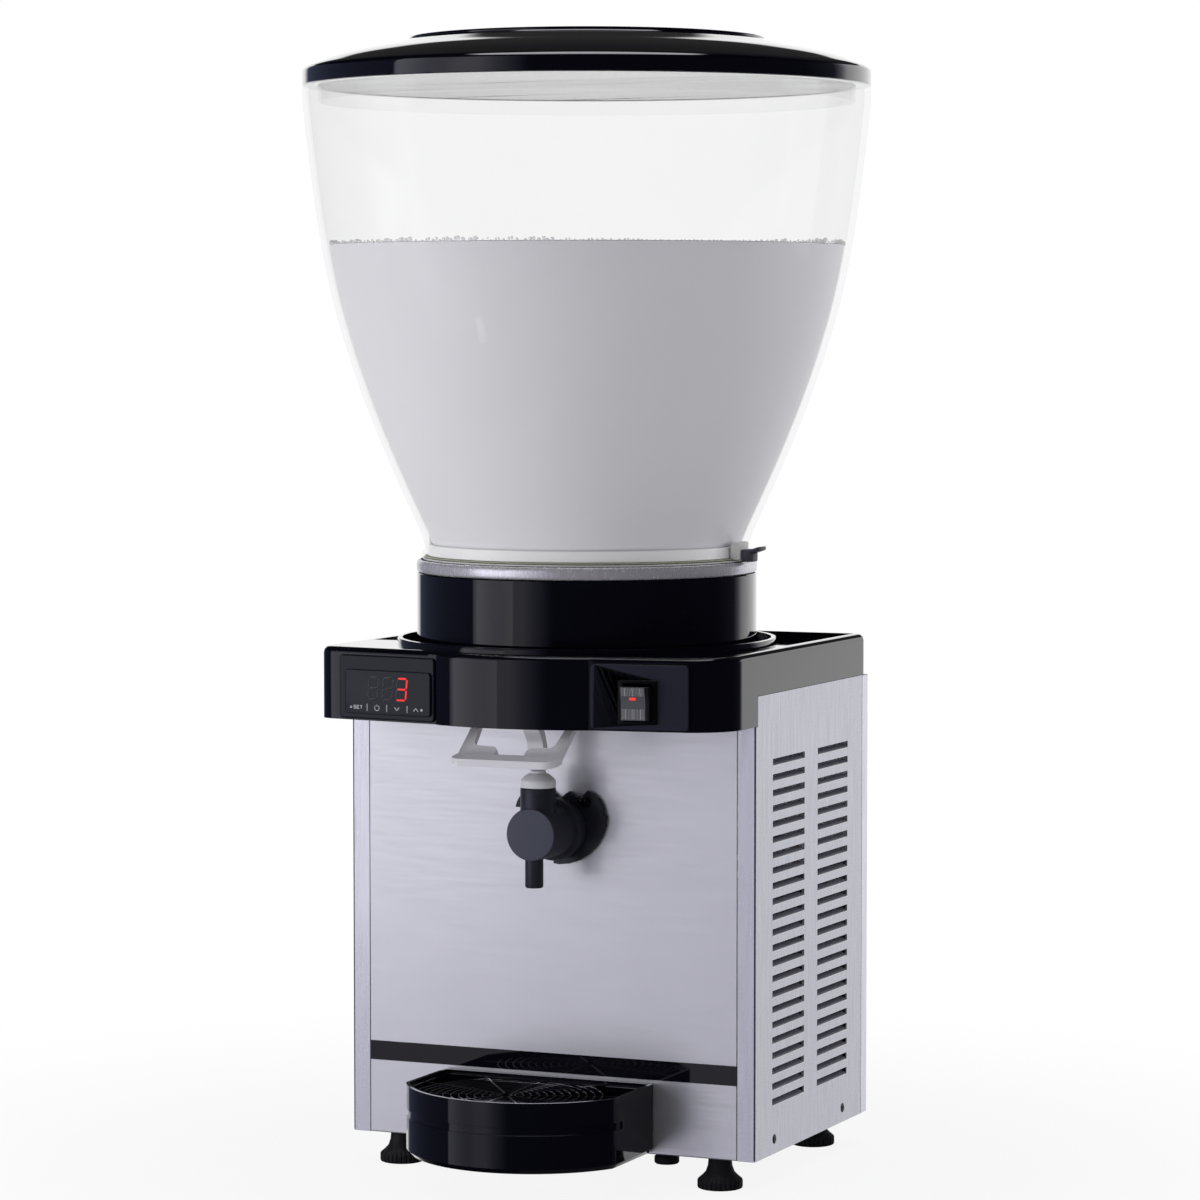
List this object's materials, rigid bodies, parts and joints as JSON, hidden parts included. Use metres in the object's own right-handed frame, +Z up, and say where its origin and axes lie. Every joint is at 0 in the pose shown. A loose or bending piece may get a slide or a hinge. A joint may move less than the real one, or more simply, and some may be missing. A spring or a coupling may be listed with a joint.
{
  "type": "chilled drink dispenser",
  "caption": "Chilled yogurt drink dispenser with a clear tapered bowl, black lid and hood, steel cabinet, lever tap and drip tray.",
  "frame": {"origin": "on the floor, under the axis of the bowl", "axes": "+Z up; -Y is the front, where the tap and the drip tray are; +X is the side with the power switch"},
  "size_m": [0.3896, 0.3896, 0.7768],
  "materials": {
    "sheet_steel": "fine satin",
    "zinc_steel": "dull",
    "magnet_steel": "dull",
    "condenser_fin": "satin",
    "polished_steel": "polished",
    "black_gloss": "high gloss",
    "black_satin": "satin",
    "compressor_black": "satin paint",
    "tap_grey": "satin",
    "white_plastic": "satin",
    "clear_plastic": "clear",
    "black_rubber": "matt",
    "gasket": "matt",
    "foam": "cellular",
    "copper": "satin",
    "latch_grey": "satin",
    "smoked_plastic": "satin"
  },
  "bodies": {
    "base": {"base_plate": "zinc_steel", "front_panel": "sheet_steel", "side_panel_left": "sheet_steel", "side_panel_right": "sheet_steel", "rear_panel": "sheet_steel", "front_stripe": "black_gloss", "deck_plate": "zinc_steel", "top_hood": "black_gloss", "evaporator_housing": "black_gloss", "evaporator_dish": "polished_steel", "evaporator_coil": "copper", "insulation_cup": "foam", "bowl_gasket": "gasket", "tap_body": "tap_grey", "tap_nozzle": "tap_grey", "tap_flange": "tap_grey", "flange_screw_left": "polished_steel", "flange_screw_right": "polished_steel", "tap_nut": "tap_grey", "tap_cap": "white_plastic", "tap_spring": "polished_steel", "lever_pin": "polished_steel", "lever_bracket": "zinc_steel", "outlet_pipe": "polished_steel", "tray_shelf": "polished_steel", "stirrer_motor": "zinc_steel", "compressor": "compressor_black", "compressor_mount_front_left": "black_rubber", "compressor_mount_front_right": "black_rubber", "compressor_mount_rear_left": "black_rubber", "compressor_mount_rear_right": "black_rubber", "condenser": "condenser_fin", "fan_shroud": "zinc_steel", "fan_motor": "black_satin", "fan_stand": "zinc_steel", "filter_drier": "copper", "discharge_pipe": "copper", "liquid_pipe": "copper", "capillary_pipe": "copper", "suction_pipe": "copper", "cord_gland": "black_satin", "base_plug": "black_rubber", "thermostat": "black_satin", "switch_housing": "black_satin"},
    "bowl": {"bowl": "clear_plastic"},
    "bowl_latch": {"bowl_latch": "latch_grey"},
    "lid": {"lid": "black_gloss"},
    "tap_lever": {"tap_lever": "white_plastic"},
    "tap_piston": {"tap_piston": "white_plastic", "piston_seal": "black_rubber"},
    "switch_rocker": {"switch_rocker": "smoked_plastic"},
    "drip_tray": {"drip_tray": "black_gloss"},
    "drip_grille": {"drip_grille": "black_gloss"},
    "fan_wheel": {"fan_wheel": "black_satin"},
    "drive_magnet": {"drive_magnet": "magnet_steel"},
    "impeller": {"impeller": "white_plastic"},
    "foot_front_left": {"foot_front_left": "black_rubber"},
    "foot_front_right": {"foot_front_right": "black_rubber"},
    "foot_rear_left": {"foot_rear_left": "black_rubber"},
    "foot_rear_right": {"foot_rear_right": "black_rubber"}
  },
  "joints": [
    {"name": "bowl_lift", "type": "slide", "parent": "base", "child": "bowl", "axis": [0, 0, 1], "range_m": [0, 0.06]},
    {"name": "latch_swing", "type": "hinge", "parent": "bowl", "child": "bowl_latch", "pos_m": [0.1173, 0, 0.433], "axis": [0, -1, 0], "range_deg": [0, 60]},
    {"name": "lid_lift", "type": "slide", "parent": "bowl", "child": "lid", "axis": [0, 0, 1], "range_m": [0, 0.08]},
    {"name": "lever_press", "type": "hinge", "parent": "base", "child": "tap_lever", "pos_m": [0.0075, -0.116, 0.317], "axis": [1, 0, 0], "range_deg": [0, 9], "stiffness_Nm_per_rad": 0.5, "springref_deg": -11.46},
    {"name": "piston_lift", "type": "slide", "parent": "base", "child": "tap_piston", "axis": [0, 0, 1], "range_m": [0, 0.0032], "deforming": ["tap_spring"]},
    {"name": "rocker_tilt", "type": "hinge", "parent": "base", "child": "switch_rocker", "pos_m": [0.09152, -0.1205, 0.3335], "axis": [0.9893, 0.1461, 0], "range_deg": [0, 14]},
    {"name": "tray_slide", "type": "slide", "parent": "base", "child": "drip_tray", "axis": [0, -1, 0], "range_m": [0, 0.13]},
    {"name": "grille_lift", "type": "slide", "parent": "drip_tray", "child": "drip_grille", "axis": [0, 0, 1], "range_m": [0, 0.04]},
    {"name": "fan_spin", "type": "hinge", "parent": "base", "child": "fan_wheel", "pos_m": [0.086, 0.041, 0.125], "axis": [1, 0, 0], "continuous": true},
    {"name": "magnet_spin", "type": "hinge", "parent": "base", "child": "drive_magnet", "pos_m": [0, 0, 0.364], "axis": [0, 0, 1], "continuous": true},
    {"name": "impeller_spin", "type": "hinge", "parent": "base", "child": "impeller", "pos_m": [0, 0, 0.3745], "axis": [0, 0, 1], "continuous": true},
    {"name": "foot_front_left_turn", "type": "hinge", "parent": "base", "child": "foot_front_left", "pos_m": [-0.1195, -0.0476, 0.0215], "axis": [0, 0, 1], "range_deg": [-720, 720]},
    {"name": "foot_front_right_turn", "type": "hinge", "parent": "base", "child": "foot_front_right", "pos_m": [0.1195, -0.0476, 0.0215], "axis": [0, 0, 1], "range_deg": [-720, 720]},
    {"name": "foot_rear_left_turn", "type": "hinge", "parent": "base", "child": "foot_rear_left", "pos_m": [-0.1195, 0.126, 0.0215], "axis": [0, 0, 1], "range_deg": [-720, 720]},
    {"name": "foot_rear_right_turn", "type": "hinge", "parent": "base", "child": "foot_rear_right", "pos_m": [0.1195, 0.126, 0.0215], "axis": [0, 0, 1], "range_deg": [-720, 720]}
  ],
  "couplings": [
    {"joint": "piston_lift", "follows": "lever_press", "m_per_rad": 0.0186},
    {"joint": "impeller_spin", "follows": "magnet_spin", "ratio": 1}
  ]
}
